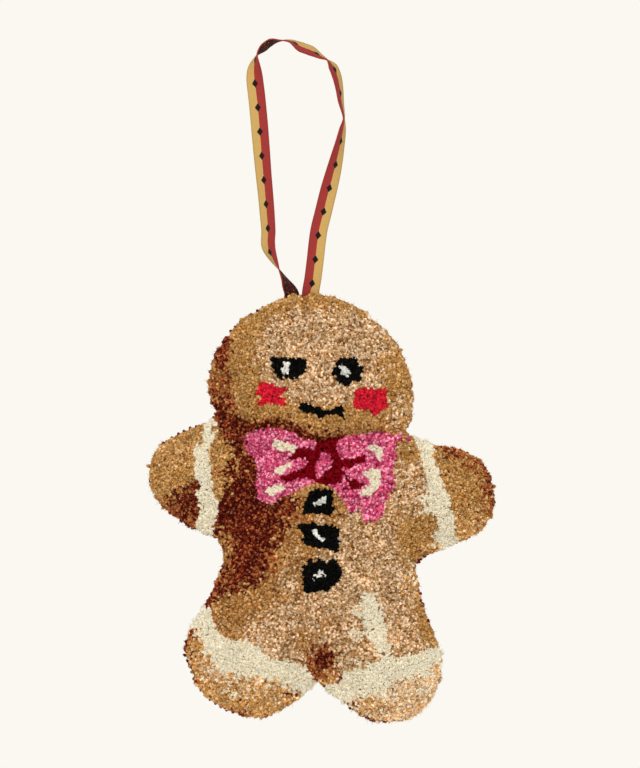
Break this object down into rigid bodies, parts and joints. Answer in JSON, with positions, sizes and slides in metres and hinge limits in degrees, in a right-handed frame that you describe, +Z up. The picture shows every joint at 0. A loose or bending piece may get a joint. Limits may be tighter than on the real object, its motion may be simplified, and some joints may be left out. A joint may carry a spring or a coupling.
{
  "type": "tufted gingerbread man ornament",
  "caption": "Stuffed gingerbread man in cut-pile tufted wool with a bow tie and cloth back, hanging on a loop of two-coloured woven ribbon on which it swings.",
  "frame": {"origin": "the top of the ribbon loop, where it hangs", "axes": "+Z up along the hanging figure, -Y the way its face looks, +X to the right as the face is looked at"},
  "size_m": [0.1271, 0.0284, 0.2528],
  "materials": {
    "wool_tan": "matte",
    "wool_light": "matte",
    "wool_brown": "matte",
    "wool_cream": "matte",
    "wool_black": "matte",
    "wool_white": "matte",
    "wool_red": "matte",
    "wool_pink": "matte",
    "wool_burgundy": "matte",
    "ribbon": "satin",
    "tufting_cloth": "matte",
    "latex": "satin",
    "stuffing": "matte",
    "back_cloth": "matte",
    "seam_yarn": "matte",
    "thread": "matte"
  },
  "bodies": {
    "loop": {"ribbon_loop": "ribbon"},
    "figure": {"eye_glint_left": "wool_white", "eye_glint_right": "wool_white", "eye_left": "wool_black", "eye_right": "wool_black", "mouth": "wool_black", "cheek_left": "wool_red", "cheek_right": "wool_red", "bow_light_1": "wool_cream", "bow_light_2": "wool_cream", "bow_light_3": "wool_cream", "bow_light_4": "wool_cream", "bow_light_5": "wool_cream", "bow_knot": "wool_pink", "bow_folds": "wool_burgundy", "bow_left": "wool_pink", "bow_right": "wool_pink", "button_glint_1": "wool_white", "button_glint_2": "wool_white", "button_glint_3": "wool_white", "button_1": "wool_black", "button_2": "wool_black", "button_3": "wool_black", "face_light": "wool_light", "head_shade": "wool_brown", "head_pile": "wool_tan", "arm_stripe_left": "wool_cream", "arm_stripe_right": "wool_cream", "hand_shade_left": "wool_brown", "hand_left": "wool_tan", "hand_shade_right": "wool_brown", "hand_right": "wool_tan", "upper_arm_left": "wool_tan", "leg_stripe_left": "wool_cream", "leg_stripe_right": "wool_cream", "foot_left": "wool_tan", "foot_right": "wool_tan", "thigh_drip": "wool_cream", "crotch_shade": "wool_brown", "torso_shade": "wool_brown", "flank_right": "wool_tan", "belly_light": "wool_light", "torso_pile": "wool_tan", "tufting_cloth": "tufting_cloth", "latex_coat": "latex", "stuffing": "stuffing", "back_panel": "back_cloth", "edge_binding": "seam_yarn", "ribbon_end_left": "ribbon", "ribbon_end_right": "ribbon", "ribbon_tack": "thread"}
  },
  "joints": [
    {"name": "figure_swing", "type": "hinge", "parent": "loop", "child": "figure", "pos_m": [0.0059, 0, -0.0898], "axis": [1, 0, 0], "range_deg": [-90, 90]}
  ]
}
